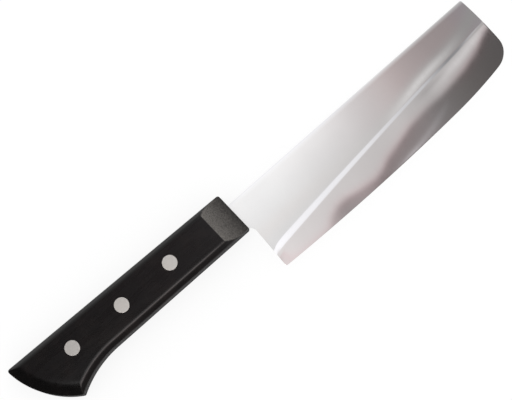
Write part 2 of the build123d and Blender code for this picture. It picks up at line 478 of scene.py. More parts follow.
RIDGE_LINE = [
    (100, -27.0), (115, -25.5), (130, -22.5), (140, -21.3), (150, -19.5), (160, -17.8),
]
RIDGE_LIGHT = [(104, 0.0), (125, 0.07), (140, 0.20), (152, 0.21), (162, 0.15)]
RIDGE_HALF = 3.6
GLINT_LINE = [
    (78, -45.0), (84, -44.0), (90, -42.9), (94, -42.2), (98, -41.1), (106, -39.2),
    (110, -37.8), (115, -36.1), (122, -33.7),
]
GLINT_LIGHT = [
    (74, 0.0), (80, 0.20), (84, 0.26), (90, 0.26), (94, 0.19), (98, 0.15), (102, 0.12),
    (110, 0.08), (115, 0.05), (122, 0.0),
]
GLINT_HALF = 2.6
BLACK = (0.0, 0.0, 0.0, 1.0)
LIT = (1.0, 0.96, 0.955, 1.0)
DULL_STOPS = [
    (40, (1.0, 0.90, 0.90)), (70, (1.0, 0.865, 0.865)), (95, (1.0, 0.885, 0.885)),
    (112, (1.0, 0.93, 0.93)), (126, (1.0, 0.935, 0.92)), (140, (1.0, 0.92, 0.90)),
    (160, (1.0, 0.925, 0.915)),
]
COOL = (0.93, 0.96, 1.0, 1.0)
WARM = (1.0, 0.80, 0.81, 1.0)
WARMTH = [
    (15, 0.3), (50, 0.7), (75, 0.8), (95, 0.6), (118, 0.15), (130, 0.4), (138, 0.7), (160, 0.9),
]
WARM_PLACE, WARM_HALF = 0.5, 5.5
UNDERLINE_DEPTH = [(108, 0.0), (118, 0.065), (126, 0.09), (132, 0.0)]
UNDERLINE_PLACE, UNDERLINE_HALF = 2.0, 1.5

below = above(line_on_panel(DARK_LINE), bevel_y)
in_dark = spread(tree, below, *DARK_BORDER)
bevel_light = mix(tree, in_dark, along_knife(PALE_STOPS), along_knife(DARK_STOPS))
warm_band = soft_stripe(maths(tree, "SUBTRACT", below, WARM_PLACE), WARM_HALF)
tint = mix(tree, in_dark, LIT, along_knife(DULL_STOPS))
tint = mix(tree, times(warm_band, along_knife(WARMTH)), tint, WARM)
bevel_light = blend("MULTIPLY", bevel_light, tint)
ridge = soft_stripe(above(bevel_y, line_on_panel(RIDGE_LINE)), RIDGE_HALF)
bevel_light = blend("ADD", bevel_light, times(ridge, along_knife(RIDGE_LIGHT)))
glint = soft_stripe(above(bevel_y, line_on_panel(GLINT_LINE)), GLINT_HALF)
glint = mix(tree, times(glint, along_knife(GLINT_LIGHT)), BLACK, COOL)
bevel_light = blend("ADD", bevel_light, glint)
underline = maths(tree, "ADD", above(bevel_y, shoulder), UNDERLINE_PLACE)
underline = times(soft_stripe(underline, UNDERLINE_HALF), along_knife(UNDERLINE_DEPTH))
bevel_light = blend("SUBTRACT", bevel_light, underline)
print("bevel strip painted")

# %% [markdown]
# Between the strips hangs the bright bar that makes the shoulder's line. It fades towards
# the tip, where the bevel's strip starts a little early. The three parts are joined with
# soft borders.

# %% Join the strips
BAR_STOPS = [
    (-5, 1.0), (8, 0.99), (20, 0.93), (35, 0.89), (55, 0.84), (75, 0.78), (90, 0.68),
    (105, 0.58), (115, 0.54), (125, 0.40), (134, 0.25), (143, 0.26), (150, 0.41), (156, 0.60),
    (160, 0.62),
]
BAR_TINT = (1.0, 1.0, 1.03, 1.0)
BAR_BORDER = 3.0
EARLY_STOPS = [(142, 0.0), (150, 0.45), (157, 1.0)]
MOST_EARLY = 12.0

bevel_start = maths(tree, "ADD", shoulder, times(along_knife(EARLY_STOPS), MOST_EARLY))
in_bevel = spread(tree, above(bevel_start, bevel_y), -BAR_BORDER, 0.0)
in_flat = spread(tree, above(panel_y, shoulder), -BAR_BORDER, 0.0)
bar = blend("MULTIPLY", along_knife(BAR_STOPS), BAR_TINT)
blade_light = mix(tree, in_flat, mix(tree, in_bevel, bar, bevel_light), flat_light)
print("strips joined")

# %% [markdown]
# The handle mirrors the panel too, faintly. Over it the panel has a grey middle, which is
# paler on both sides for the bevels, and it ends in black in a circle round the butt.

# %% Paint the part over the handle and hang the panel
PANEL_STRENGTH = 1.16
HANDLE_FRONT = [(-12, 1.0), (-1, 0.0)]
HANDLE_FRONT_BELOW = [(-26, 1.0), (-13, 0.0)]
BELOW_BORDER = (-34.0, -24.0)
MIDDLE_STOPS = [
    (-150, (0.22, 0.17, 0.18)), (-132, (0.19, 0.145, 0.155)), (-118, (0.10, 0.082, 0.085)),
    (-92, (0.10, 0.084, 0.088)), (-60, (0.25, 0.19, 0.20)), (-10, (0.32, 0.24, 0.255)),
]
MIDDLE_LEAN = (-40.0, 25.0, 0.55, 1.35)
MIDDLE_TOP = (26.0, 44.0)
MIDDLE_FOOT = (-46.0, -32.0)
BESIDE_BACK = (0.5, 0.5, 0.5, 1.0)
BESIDE_BELLY = [(-110, 1.0), (-60, 0.65), (-15, 0.4)]
BELLY_STRENGTH = 1.9
BACK_BORDER = (-30.0, 30.0)
BUTT_SPOT = (-96.2, 14.9)
DARK_END = (76.0, 92.0)
DARK_END_FRONT = [(-152, 1.0), (-136, 0.0)]
NEAR_BLACK = (0.01, 0.01, 0.01, 1.0)

middle = spread(tree, panel_y, *MIDDLE_LEAN, mode="LINEAR")
middle = blend("MULTIPLY", along_knife(MIDDLE_STOPS), middle)
in_middle = times(spread(tree, panel_y, *MIDDLE_TOP, 1.0, 0.0), spread(tree, panel_y, *MIDDLE_FOOT))
beside = times(along_knife(BESIDE_BELLY), BELLY_STRENGTH)
beside = mix(tree, spread(tree, panel_y, *BACK_BORDER), beside, BESIDE_BACK)
handle_light = mix(tree, in_middle, beside, middle)
from_butt = [maths(tree, "SUBTRACT", *pair) for pair in zip((panel_x, panel_y), BUTT_SPOT)]
squares = [times(part, part) for part in from_butt]
radius = maths(tree, "SQRT", maths(tree, "ADD", *squares))
dark_end = times(spread(tree, radius, *DARK_END), along_knife(DARK_END_FRONT))
handle_light = mix(tree, dark_end, handle_light, NEAR_BLACK)
over_handle = [along_knife(stops) for stops in (HANDLE_FRONT_BELOW, HANDLE_FRONT)]
over_handle = mix(tree, spread(tree, panel_y, *BELOW_BORDER), *over_handle)
colour = mix(tree, over_handle, blade_light, handle_light)
show(tree, node(tree, "ShaderNodeEmission", Color=colour, Strength=PANEL_STRENGTH))

gain = PANEL_HEIGHT * MM / (distance * math.cos(LEAN))
(x0, x1), (y0, y1) = PANEL_X, PANEL_Y
corners = [(x0, y0, 0), (x0, y1, 0), (x1, y1, 0), (x1, y0, 0)]
panel = solid("graduated_panel", corners, [(0, 1, 2, 3)], panel_material)
panel.location = at(
    -VIEW_CENTRE[0] * gain,
    -VIEW_CENTRE[1] * gain + PANEL_HEIGHT * math.tan(LEAN),
    PANEL_HEIGHT,
)
panel.scale = (MM * (1 + gain),) * 3


def only_in_mirrors(card):
    """Hides a card from all but mirror rays, and marks it as part of the stage."""
    card.visible_camera = False
    card.visible_diffuse = False
    card.visible_shadow = False
    card.visible_transmission = False
    card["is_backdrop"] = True


only_in_mirrors(panel)
print("the mirror enlarges by", round(1 + gain, 3))

# %% [markdown]
# The blade is one piece of stainless steel, about two millimetres thick. Its sides are
# flat down to a shoulder line, where the grinding starts, and from there each side falls
# at two to five degrees to a thin edge. The shoulder is no crease: the polishing wheel
# leaves it rounded, wide near the heel and tight towards the tip, and that rounding is the
# bright line in the photograph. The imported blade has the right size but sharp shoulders
# made of straight strips, so a finer skin replaces it. It is made as a height map over the
# blade's outline: fine triangles in plan, lifted to half the thickness by one formula.

# %% The outline of the blade
HEEL = Vector((1.65, -43.3))
TIP = Vector((159.1, 0.0))
NECK_END = Vector((2.1, -19.8))
NECK_FOOT = -15.8
FRONT_LEAN = 0.85
FRONT_HEIGHT = 23.42
BELLY_DEPTH = 16.55
BELLY_LOW = Vector((0.390 * BLADE_LENGTH, -BLADE_HEIGHT))
BELLY_END = Vector((0.7465 * BLADE_LENGTH, -0.9605 * BLADE_HEIGHT))
SWEEP_END = Vector((0.940 * BLADE_LENGTH, -0.8795 * BLADE_HEIGHT))
CORNER_MID = Vector((0.986 * BLADE_LENGTH, -0.779 * BLADE_HEIGHT))
CORNER_END = Vector((0.9994 * BLADE_LENGTH, -0.643 * BLADE_HEIGHT))
BELLY_POINTS = 60


def front_point(y):
    """A point of the handle's leaning front face."""
    return Vector((-FRONT_LEAN * (y + BELLY_DEPTH) / FRONT_HEIGHT, y))


def circle_arc(start, centre, turn_angle, count):
    """Points along a circle from a start point, without the start itself."""
    spoke = start - centre
    steps = [turn_angle * (n + 1) / count for n in range(count)]
    return [centre + Matrix.Rotation(step, 2) @ spoke for step in steps]


def tangent_arc(start, heading, end, count):
    """An arc that leaves a point along a heading: its points to the end, its last heading."""
    chord = end - start
    half_turn = math.atan2(heading.x * chord.y - heading.y * chord.x, heading.dot(chord))
    radius = chord.length / (2 * math.sin(half_turn))
    side = Vector((-heading.y, heading.x)).normalized()
    points = circle_arc(start, start + side * radius, 2 * half_turn, count)
    return points, Matrix.Rotation(2 * half_turn, 2) @ heading


def three_point_heading(first, second, third):
    """The heading with which a circle through three points leaves the first."""
    a, b = second - first, third - first
    cross = 2 * (a.x * b.y - a.y * b.x)
    centre = Vector((
        (b.y * a.length_squared - a.y * b.length_squared) / cross,
        (a.x * b.length_squared - b.x * a.length_squared) / cross,
    ))
    spoke = -centre
    heading = Vector((-spoke.y, spoke.x)).normalized()
    return heading if heading.dot(b) > 0 else -heading


heading = three_point_heading(HEEL, BELLY_LOW, BELLY_END)
edge_line = [HEEL]
EDGE_RUNS = (
    (BELLY_END, BELLY_POINTS), (SWEEP_END, 24), (CORNER_MID, 14), (CORNER_END, 10), (TIP, 30),
)
for stop, count in EDGE_RUNS:
    points, heading = tangent_arc(edge_line[-1], heading.normalized(), stop, count)
    edge_line += points
print("edge and front run through", len(edge_line), "points")

# %% [markdown]
# Corners are rounded by cutting each one back along both of its sides and laying a small
# arc between. The spine, the neck and the heel close the outline. Points are spread evenly
# enough for smooth reflections.

# %% Round the corners and close the outline


def rounded(before, corner, after, radius, count=6):
    """Replaces a corner by a small arc that touches both of its sides."""
    a, b = (before - corner).normalized(), (after - corner).normalized()
    half_angle = math.acos(max(-1.0, min(1.0, a.dot(b)))) / 2
    reach = radius / math.tan(half_angle)
    centre = corner + (a + b).normalized() * radius / math.sin(half_angle)
    start, end = corner + a * reach, corner + b * reach
    spoke_a, spoke_b = start - centre, end - centre
    angle = math.atan2(spoke_a.x * spoke_b.y - spoke_a.y * spoke_b.x, spoke_a.dot(spoke_b))
    return [start, *circle_arc(start, centre, angle, count)]


def straight(start, end, step):
    """Evenly spread points between two ends, without the ends."""
    count = max(1, round((end - start).length / step))
    return [start.lerp(end, n / count) for n in range(1, count)]


TIP_ROUND = 1.2
HEEL_ROUND = 1.0
CORNER_CLEAR = 1.2
OUTLINE_STEP = 1.2
HEEL_STEP = 1.0
NECK_POINTS = 8
neck_top = front_point(0.0)
neck_foot = front_point(NECK_FOOT)
neck_arc, _ = tangent_arc(NECK_END, Vector((0.0, 1.0)), neck_foot, NECK_POINTS)
tip_corner = rounded(edge_line[-2], TIP, neck_top, TIP_ROUND)
heel_corner = rounded(NECK_END, HEEL, edge_line[1], HEEL_ROUND)
front_line = [
    point for point in edge_line[1:-1]
    if (point - TIP).length > TIP_ROUND * CORNER_CLEAR
    and (point - HEEL).length > HEEL_ROUND * CORNER_CLEAR
]
outline = [
    *heel_corner, *front_line, *tip_corner, *straight(tip_corner[-1], neck_top, OUTLINE_STEP),
]
joint_start = len(outline)
outline += [neck_top, *straight(neck_top, neck_foot, OUTLINE_STEP), neck_foot]
outline += [*reversed(neck_arc[:-1]), NECK_END, *straight(NECK_END, heel_corner[0], HEEL_STEP)]
print("outline has", len(outline), "points")

# %% [markdown]
# Now the section. Three surfaces are worked out at each point: the flat, the ground bevel
# and the narrow honed edge. The lowest one wins, and a smooth minimum rounds the meeting
# of the flat and the bevel. That rounding is widest near the heel. There the shoulder also
# curls down, and the steel falls away by a hair towards the bare heel.

# %% The section as one formula
HALF_FLAT = 1.0
BEVEL_FOOT = 0.165
HONED_WIDTH = 0.35
HALF_EDGE = 0.1
PLUNGE = 6.0
PLUNGE_FADE = 2.4
HEEL_FALL_SLOPE = 0.045
HEEL_FALL_REACH = 3.6
HEEL_FALL_START = -33.4
HEEL_FALL_GROWTH = 6.0
HEEL_FALL_PLACE = -36.2
HEEL_FALL_WIDTH = 4.2
HEEL_FALL_WIDEST = 8.0
HEEL_FALL_FADE = 3.4
HONED_ROUNDING = 0.01
HEEL_ROUNDING = 2.8
TIP_ROUNDING = 0.8
ROUNDING_FADE = 75.0
CROWN_WIDTH = 2.6
CROWN_FALL = 0.065
EDGE_PAST_SWEEP = ((0.80, 0.946), (0.90, 0.912), (1.05, 0.845))


def interpolate(table, x):
    """Reads a value between the rows of a table of (x, value)."""
    for (x0, v0), (x1, v1) in zip(table, table[1:]):
        if x <= x1:
            return v0 + (v1 - v0) * max(0.0, x - x0) / (x1 - x0)
    (x0, v0), (x1, v1) = table[-2:]
    return v1 + (v1 - v0) * (x - x1) / (x1 - x0)


edge_table = [(point.x, point.y) for point in edge_line[:BELLY_POINTS + 1]]
edge_table += [(x * BLADE_LENGTH, -y * BLADE_HEIGHT) for x, y in EDGE_PAST_SWEEP]


def shoulder_y(x):
    """The height of the shoulder line at a place along the blade."""
    share = x / BLADE_LENGTH
    a, b, c = SHOULDER_CURVE
    curl = PLUNGE * math.exp(-max(x, 0.0) / PLUNGE_FADE)
    return -BLADE_HEIGHT * (a + b * share + c * share * share) - curl


def soft_min(first, second, width):
    """The smaller of two heights, rounded where they meet."""
    gap = max(width - abs(first - second), 0.0) / width
    return min(first, second) - gap * gap * width / 4


def heel_fall(x, y):
    """How much the steel falls away towards the bare heel, low on the blade."""
    heel_slant = (NECK_END.x - HEEL.x) / (NECK_END.y - HEEL.y)
    from_heel = x - NECK_END.x - (y - NECK_END.y) * heel_slant
    low_down = max(0.0, min(1.0, (HEEL_FALL_START - y) / HEEL_FALL_GROWTH))
    width = HEEL_FALL_WIDTH * math.exp((y - HEEL_FALL_PLACE) / HEEL_FALL_FADE)
    near = max(0.0, min(width, HEEL_FALL_WIDEST) - max(from_heel, 0.0))
    depth = HEEL_FALL_SLOPE * near * near / (2 * HEEL_FALL_REACH)
    return depth * low_down * low_down * (3 - 2 * low_down)


def half_thickness(x, y):
    """Half of the blade's thickness at a point of its side, in millimetres."""
    edge = interpolate(edge_table, x)
    foot = edge + HONED_WIDTH
    fall = (HALF_FLAT - BEVEL_FOOT) / (shoulder_y(x) - foot)
    bevel = BEVEL_FOOT + fall * (y - foot)
    near_heel = math.exp(-((x / ROUNDING_FADE) ** 2))
    rounding = TIP_ROUNDING + (HEEL_ROUNDING - TIP_ROUNDING) * near_heel
    honed = HALF_EDGE + (BEVEL_FOOT - HALF_EDGE) / HONED_WIDTH * (y - edge)
    ground = soft_min(HALF_FLAT, bevel, rounding * fall)
    crown = CROWN_FALL * max(0.0, 1.0 + y / CROWN_WIDTH) ** 2
    height = max(HALF_EDGE, soft_min(ground, honed, HONED_ROUNDING)) - crown
    return height - heel_fall(x, y)


def slope(x, y, reach=0.02):
    """How steeply the half thickness changes along and across the blade."""
    along_x = (half_thickness(x + reach, y) - half_thickness(x - reach, y)) / (2 * reach)
    along_y = (half_thickness(x, y + reach) - half_thickness(x, y - reach)) / (2 * reach)
    return Vector((along_x, along_y))


samples = [round(half_thickness(60, y), 3) for y in (-2, shoulder_y(60), -44)]
print("half thickness near the spine, at the shoulder and at the edge in mm:", samples)

# %% [markdown]
# The plan is filled with triangles by a constrained Delaunay fill, Blender's
# `delaunay_2d_cdt`. Rings close to the outline carry the eased edges of the spine, the
# heel and the front. Inside, the rows follow the shoulder and the edge, close together
# where the section bends and wide apart where it is flat.

# %% Fill the plan with points
RING_INSETS = (0.0, 0.03, 0.09, 0.18, 0.30, 0.45, 0.65, 0.85)
COLUMN_STEP = 1.3
FIRST_COLUMN = 0.6
EXTRA_COLUMNS = 6
CLEAR = 1.0
FAR = 8.0
MERGE = 1e-6
TINY = 1e-12
INNER_ONLY = 1      # the fill keeps only the triangles within the outline


def inward(points):
    """At each point of a closed ring, the direction into it."""
    made = []
    for n in range(len(points)):
        side = (points[(n + 1) % len(points)] - points[n - 1]).normalized()
        made.append(Vector((-side.y, side.x)))
    return made


def distance_to_ring(point, ring):
    """The least distance from a point to a closed ring of points."""
    best = math.inf
    for n, start in enumerate(ring):
        end = ring[(n + 1) % len(ring)]
        if abs(start.x - point.x) > FAR and abs(end.x - point.x) > FAR:
            continue
        side = end - start
        share = max(0.0, min(1.0, (point - start).dot(side) / max(side.length_squared, TINY)))
        best = min(best, (start + side * share - point).length)
    return best


def inside(point, ring):
    """True if a point lies within a closed ring."""
    crossings = 0
    for n, a in enumerate(ring):
        b = ring[(n + 1) % len(ring)]
        if (a.y > point.y) != (b.y > point.y):
            if point.x < a.x + (point.y - a.y) * (b.x - a.x) / (b.y - a.y):
                crossings += 1
    return crossings % 2 == 1


def fill_plan(rings, field):
    """Fills the first ring with triangles through all the points: points, triangles, origins."""
    count = len(rings[0])
    points = [point for ring in rings for point in ring] + field
    links = [
        (n + r * count, (n + 1) % count + r * count)
        for r in range(len(rings))
        for n in range(count)
    ]
    fill = delaunay_2d_cdt(points, links, [list(range(count))], INNER_ONLY, MERGE)
    made, origins = fill[0], fill[3]
    faces = []
    for a, b, c in fill[2]:
        turned = (made[b] - made[a]).cross(made[c] - made[a]) < 0
        faces.append((a, c, b) if turned else (a, b, c))
    return made, faces, origins


SHOULDER_ROWS = [n * 0.32 for n in range(-9, 10)]
SPINE_ROWS = (-1.15, -1.5, -2.0, -2.6, -3.4)
PARTS = 10      # equal parts of the bevel and of the flat, between their rows of points
into = inward(outline)
rings = [[point + way * inset for point, way in zip(outline, into)] for inset in RING_INSETS]
field = []
columns = [FIRST_COLUMN + n * COLUMN_STEP for n in range(int(BLADE_LENGTH / COLUMN_STEP) + 1)]
columns += [FIRST_COLUMN + (n + 0.5) * COLUMN_STEP for n in range(EXTRA_COLUMNS)]
for x in columns:
    shoulder_here, edge_here = shoulder_y(x), interpolate(edge_table, x)
    low, top = shoulder_here + SHOULDER_ROWS[0], shoulder_here + SHOULDER_ROWS[-1]
    rows = [edge_here + (low - edge_here) * n / PARTS for n in range(1, PARTS)]
    rows += [shoulder_here + step for step in SHOULDER_ROWS]
    rows += [top - top * n / PARTS for n in range(1, PARTS - 1)] + list(SPINE_ROWS)
    for y in rows:
        point = Vector((x, y))
        if inside(point, outline) and distance_to_ring(point, outline) > CLEAR:
            field.append(point)
print("field of", len(field), "points,", len(rings), "rings")

# %% [markdown]
# Each point of the plan is lifted by the formula, and near the outline it is lowered again
# by a small parabola, which eases the edge. Only the joint with the handle, the neck and
# the bare heel under it stay as sharp as the press left them. The same formula also gives
# the exact direction that the surface faces. On a mirror that matters more than the number
# of triangles, so these directions are kept as the mesh's own normals.

# %% Lift the plan
EASE_WIDTH = 0.35
EASE_STEEPNESS = 0.23

count = len(outline)
plan_points, plan_faces, plan_origins = fill_plan(rings, field)

heights, facings = [], []
for point, origins in zip(plan_points, plan_origins):
    height = half_thickness(point.x, point.y)
    tilt = slope(point.x, point.y)
    first = min(origins, default=len(rings) * count)
    spot, ring_number = first % count, first // count
    if ring_number < len(rings) and spot < joint_start:
        out = max(0.0, 1.0 - RING_INSETS[ring_number] / EASE_WIDTH) * height
        tilt = tilt + into[spot] * (2 * EASE_STEEPNESS * out)
        height -= EASE_STEEPNESS * EASE_WIDTH * out * out
    heights.append(height)
    facings.append(Vector((-tilt.x, -tilt.y, 1.0)).normalized())
print("plan of", len(plan_points), "points,", len(plan_faces), "triangles")

# %% [markdown]
# The lifted plan is the right side, and turned over it is the left one. A strip along the
# outline joins them. The tang, which nobody sees once the handle is on, is a plain plate
# in the same skin, a little thicker than the polished blade.

# %% Build the skin of the blade
TANG_HALF = 1.1
TANG_POINTS = [
    (-1.2, -1.2), (-4.0, -1.2), (-13.0, 3.0), (-123.1, 4.6), (-123.1, -11.8), (-1.2, -13.55),
]
TANG_ROUNDS = (0, 3.0, 3.0, 3.0, 3.0, 0)
TANG_ARC_POINTS = 5

total = len(plan_points)
verts = [at(p.x, p.y, h) for p, h in zip(plan_points, heights)]
verts += [at(p.x, p.y, -h) for p, h in zip(plan_points, heights)]
faces = []
for a, b, c in plan_faces:
    faces += [(a, b, c), (total + c, total + b, total + a)]
rim = {
    origin: n for n, origins in enumerate(plan_origins) for origin in origins if origin < count
}
for n in range(count):
    a, b = rim[n], rim[(n + 1) % count]
    if a != b:
        faces.append((a, total + a, total + b, b))

tang = []
for n, (corner, radius) in enumerate(zip(TANG_POINTS, TANG_ROUNDS)):
    before, after = TANG_POINTS[n - 1], TANG_POINTS[(n + 1) % len(TANG_POINTS)]
    before, corner, after = Vector(before), Vector(corner), Vector(after)
    tang += rounded(before, corner, after, radius, TANG_ARC_POINTS) if radius else [corner]
base, size = len(verts), len(tang)
verts += [at(p.x, p.y, TANG_HALF) for p in tang] + [at(p.x, p.y, -TANG_HALF) for p in tang]
faces.append(tuple(base + n for n in range(size)))
faces.append(tuple(base + size + n for n in reversed(range(size))))
faces += [
    (base + (n + 1) % size, base + n, base + size + n, base + size + (n + 1) % size)
    for n in range(size)
]
blade = solid("blade_skin", verts, faces)
blade_mesh = blade.data
blade_mesh.validate()
blade_mesh.polygons.foreach_set("use_smooth", [True] * len(blade_mesh.polygons))
print("blade skin:", len(blade_mesh.vertices), "vertices,", len(blade_mesh.polygons), "faces")

# %% Give the skin its exact normals
UPRIGHT = 0.2
rim_facing = {rim[n]: Vector((-into[n].x, -into[n].y, 0.0)) for n in range(count)}
normals = []
for polygon in blade_mesh.polygons:
    for vertex in polygon.vertices:
        if vertex >= base:
            normals.append(polygon.normal)
        elif abs(polygon.normal.z) < UPRIGHT:
            normals.append(rim_facing[vertex % total])
        else:
            x, y, z = facings[vertex % total]
            normals.append(Vector((x, y, z if vertex < total else -z)))
blade_mesh.normals_split_custom_set([tuple(normal) for normal in normals])
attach(blade, "root")
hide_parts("blade")
print("normals set on", len(normals), "corners")

# %% [markdown]
# Steel first. The photograph shows a bright satin polish, a touch warm, with hardly any
# lines. A metal's colour lives in its reflections, so the base colour is high and nearly
# grey. Fine noise, drawn out across the blade the way a polishing wheel runs, stirs the
# roughness and the bump just enough that a reflection has a soft, slightly streaky edge.

# %% Blade steel
PALE_STEEL = (0.868, 0.861, 0.862, 1.0)
DULL_STEEL = (0.843, 0.836, 0.837, 1.0)
CLOUD_TONE = (0.35, 0.7)
WHEEL_STRETCH = (2600, 130, 130)
WHEEL_ROUGH = (0.045, 0.065)
CLOUD_ROUGH = (-0.005, 0.005)


def metal(tree, tone, rough, bump):
    """A bare metal surface."""
    return node(
        tree, "ShaderNodeBsdfPrincipled", Base_Color=tone, Metallic=1.0, Roughness=rough,
        Normal=bump,
    )


steel, tree = new_material("blade_steel")
place = object_place(tree)
lines = drawn_grain(tree, place, WHEEL_STRETCH, detail=3.0)
cloud = noise(tree, place, scale=45.0, detail=3.0, roughness=0.5)
rough = spread(tree, lines, *NOISE, *WHEEL_ROUGH)
rough = maths(tree, "ADD", rough, spread(tree, cloud, *NOISE, *CLOUD_ROUGH))
bump = node(tree, "ShaderNodeBump", Strength=0.02, Distance=0.00002, Height=lines)
tone = mix(tree, spread(tree, cloud, *CLOUD_TONE), PALE_STEEL, DULL_STEEL)
show(tree, metal(tree, tone, rough, bump))
blade_mesh.materials.append(steel)
print("blade steel is on")

# %% [markdown]
# The handle is two slabs of hard black wood, shaped together on a belt after riveting. The
# belt leaves soft creases where the bevels meet the flat, and a round-over along the butt.
# The same trick as for the blade gives that: a height over a plan. First comes the
# outline, from its straight back and belly, the arc of the hook and the arc of the butt.

# %% The outline of the handle
BACK_FRONT = 6.87
HOOK_START = 91.0
HOOK_RADIUS = 57.4
BUTT_RADIUS = 45.95
BUTT_CENTRE = Vector((BUTT_RADIUS - HANDLE_LENGTH, 14.9))
HOOK_CENTRE = Vector((-HOOK_START, -BELLY_DEPTH - HOOK_RADIUS))
FRONT_STEP, SIDE_STEP, HOOK_STEP = 0.9, 1.2, 1.1
CORNER_ROUNDS = (1.3, 1.5, 1.2, 1.5)
CORNER_GAP = 0.2
FIRST_KEEP = 1.9


def spread_arc(centre, start, end, step):
    """Points along the shorter arc from one point to another, both kept."""
    a, b = start - centre, end - centre
    angle = math.atan2(a.x * b.y - a.y * b.x, a.dot(b))
    parts = max(2, round(abs(angle) * a.length / step))
    return [start, *circle_arc(start, centre, angle, parts)]


def crossing(centre_a, radius_a, centre_b, radius_b):
    """The point nearer the butt of the two where two circles cross."""
    between = centre_b - centre_a
    reach = (radius_a**2 - radius_b**2 + between.length_squared) / (2 * between.length)
    aside = math.sqrt(radius_a**2 - reach**2)
    step = between.normalized()
    foot = centre_a + step * reach
    across = Vector((-step.y, step.x)) * aside
    return min(foot + across, foot - across, key=lambda point: point.x)


front_foot, front_top = front_point(-BELLY_DEPTH), front_point(BACK_FRONT)
butt_rise = math.sqrt(BUTT_RADIUS**2 - (BACK_BUTT - BUTT_CENTRE.y) ** 2)
butt_top = Vector((BUTT_CENTRE.x - butt_rise, BACK_BUTT))
hook_tip = crossing(HOOK_CENTRE, HOOK_RADIUS, BUTT_CENTRE, BUTT_RADIUS)
hook_end = Vector((-HOOK_START, -BELLY_DEPTH))
front_run = [front_foot, *straight(front_foot, front_top, FRONT_STEP), front_top]
back_run = [front_top, *straight(front_top, butt_top, SIDE_STEP), butt_top]
butt_run = spread_arc(BUTT_CENTRE, butt_top, hook_tip, FRONT_STEP)
belly_run = [
    *spread_arc(HOOK_CENTRE, hook_tip, hook_end, HOOK_STEP),
    *straight(hook_end, front_foot, SIDE_STEP), front_foot,
]
runs = [front_run, back_run, butt_run, belly_run]
handle_line = []
for n, (run, radius) in enumerate(zip(runs, CORNER_ROUNDS)):
    start, corner = run[0], run[-1]
    arc = rounded(run[-3], corner, runs[(n + 1) % len(runs)][2], radius)
    keep = (arc[0] - corner).length + CORNER_GAP
    last_keep = (start - handle_line[-1]).length + CORNER_GAP if handle_line else FIRST_KEEP
    handle_line += [
        point for point in run
        if (point - corner).length > keep and (point - start).length > last_keep
    ]
    handle_line += arc
print("handle outline has", len(handle_line), "points")
print("hook tip at", tuple(round(value, 2) for value in hook_tip))

# %% [markdown]
# The section again is the lowest of a few surfaces: the flat, the bevels, which fall three
# millimetres over their width, and the scoop at the front, an arc that runs out level.
# Soft minimums round the creases, most along the butt and least round the scoop.

# %% The handle's section as one formula
WALL = 5.5
BEVEL_DEPTH = 3.0
SIDE_BEVEL = 2.8
BACK_BEVEL = 2.4
BUTT_BEVEL = 4.8
SCOOP_LEVEL = 2.75
SCOOP_LENGTH = 13.6
SCOOP_DEPTH = 3.2
CREASE_ROUNDS = (1.2, 1.15, 1.7)
CREASE_BLEND = 8.0
RIDGE_ROUNDS = (0.1, 0.12)
SCOOP_ROUND = 0.10
SCOOP_END = 0.98
scoop_run = SCOOP_LENGTH - SCOOP_LEVEL
SCOOP_RADIUS = (scoop_run**2 + SCOOP_DEPTH**2) / (2 * SCOOP_DEPTH)
front_way = Vector((FRONT_HEIGHT, FRONT_LEAN)).normalized()
back_way = Vector((butt_top.y - front_top.y, front_top.x - butt_top.x)).normalized()


def from_sides(point):
    """The distances of a point from the back, the belly and the butt."""
    belly = point.y + BELLY_DEPTH
    if point.x < -HOOK_START:
        belly = (point - HOOK_CENTRE).length - HOOK_RADIUS
    butt = BUTT_RADIUS
    if point.x < BUTT_CENTRE.x:
        butt -= (point - BUTT_CENTRE).length
    return (front_top - point).dot(back_way), belly, butt


def scoop_height(point):
    """The height of the scooped ramp at a point."""
    along_it = min((front_foot - point).dot(front_way), SCOOP_LEVEL + SCOOP_RADIUS * SCOOP_END)
    fall = max(along_it - SCOOP_LEVEL, 0.0)
    return HALF_HANDLE - SCOOP_DEPTH + SCOOP_RADIUS - math.sqrt(SCOOP_RADIUS**2 - fall**2)


def handle_height(point):
    """The height of the handle's side, and how far the scoop lies under the rest."""
    bevels = (BACK_BEVEL, SIDE_BEVEL, BUTT_BEVEL)
    shares = [side / width for side, width in zip(from_sides(point), bevels)]
    share = soft_min(shares[0], shares[1], RIDGE_ROUNDS[0])
    share = soft_min(share, shares[2], RIDGE_ROUNDS[1])
    pulls = [math.exp(CREASE_BLEND * (share - other)) for other in shares]
    crease = sum(pull * width for pull, width in zip(pulls, CREASE_ROUNDS)) / sum(pulls)
    shaped = soft_min(HALF_HANDLE, WALL + BEVEL_DEPTH * share, crease)
    scoop = scoop_height(point)
    return soft_min(shaped, scoop, SCOOP_ROUND), shaped - scoop


samples = [round(handle_height(Vector(spot))[0], 2) for spot in ((-50, -5), (-50, -15.2), (-3, -5))]
print("height on the flat, bevel and scoop in mm:", samples)

# %% [markdown]
# Rows of points follow the back, the belly, the butt and the scoop, close together at
# their creases. Points that fall too near one another are dropped.

# %% Points for the handle's plan
SIDE_ROWS = (0.8, 1.2, 1.6, 2.0, 2.25, 2.45, 2.65, 2.85, 3.05, 3.3, 3.7, 4.3)
BUTT_ROWS = (0.8, 1.4, 2.0, 2.7, 3.3, 3.8, 4.2, 4.55, 4.9, 5.25, 5.7, 6.4)
SCOOP_ROWS = [0.9 + 0.6 * n for n in range(20)] + [12.9, 13.15, 13.4, 13.6, 13.8, 14.05, 14.5]
SCOOP_COLUMNS = 30
SCOOP_RIM_ROWS = (-0.35, -0.15, 0.0, 0.15, 0.35)
FIELD_START = Vector((-16.0, -30.0))
FIELD_STEP = 2.2
FIELD_COLUMNS, FIELD_ROWS = 60, 20
CELL = 0.5
LEAST_GAP = 0.14
RING_CLEAR = 0.7
handle_into = inward(handle_line)
taken = {}


